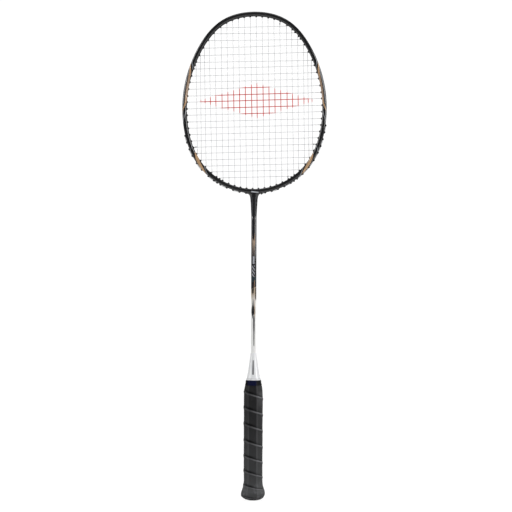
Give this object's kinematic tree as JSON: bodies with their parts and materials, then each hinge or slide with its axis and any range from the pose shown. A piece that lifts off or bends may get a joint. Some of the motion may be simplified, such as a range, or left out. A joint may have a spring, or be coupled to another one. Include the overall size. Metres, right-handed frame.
{
  "type": "badminton racket",
  "caption": "Badminton racket: isometric hoop with a woven string bed, slim tapering shaft, white cone and a spiral-wrapped octagonal handle with a flared butt.",
  "frame": {"origin": "middle of the butt's resting face", "axes": "+Z from the butt to the crown of the head, X across the head, Y through the string bed with the front face at -Y"},
  "size_m": [0.1999, 0.0302, 0.675],
  "materials": {
    "frame_lacquer": "deep gloss lacquer over carbon composite, with tan and silver decals",
    "shaft_lacquer": "gloss lacquer, black fading through taupe to white",
    "joint_polymer": "moulded",
    "plug_rubber": "matte",
    "string_nylon": "fine coated multifilament, part of it stencilled red",
    "grommet_nylon": "semi-gloss moulded nylon",
    "cone_plastic": "gloss white",
    "handle_wood": "sanded, straight grain",
    "grip_polyurethane": "tacky soft grip, finely pitted",
    "finishing_tape": "smooth vinyl tape",
    "ring_plastic": "moulded",
    "butt_plastic": "fine texture",
    "disc_plastic": "plain domed disc with a silver ring",
    "tack_steel": "bright"
  },
  "bodies": {
    "root": {"head_frame": "frame_lacquer", "t_joint": "joint_polymer", "shaft": "shaft_lacquer", "shaft_end_plug": "plug_rubber", "main_string": "string_nylon", "cross_string": "string_nylon", "main_string_knots": "string_nylon", "cross_string_knots": "string_nylon", "cone_cap": "cone_plastic", "handle_core": "handle_wood", "grip_wrap": "grip_polyurethane", "grip_finishing_tape": "finishing_tape", "grip_packing_ring": "ring_plastic", "butt_cap": "butt_plastic", "butt_end_disc": "disc_plastic", "grip_tack": "tack_steel", "crown_grommet_strip": "grommet_nylon", "left_shoulder_grommets": "grommet_nylon", "right_shoulder_grommets": "grommet_nylon", "left_side_grommets": "grommet_nylon", "right_side_grommets": "grommet_nylon", "left_lower_grommets": "grommet_nylon", "right_lower_grommets": "grommet_nylon", "left_throat_grommets": "grommet_nylon", "right_throat_grommets": "grommet_nylon", "tie_off_grommets": "grommet_nylon"}
  },
  "joints": []
}
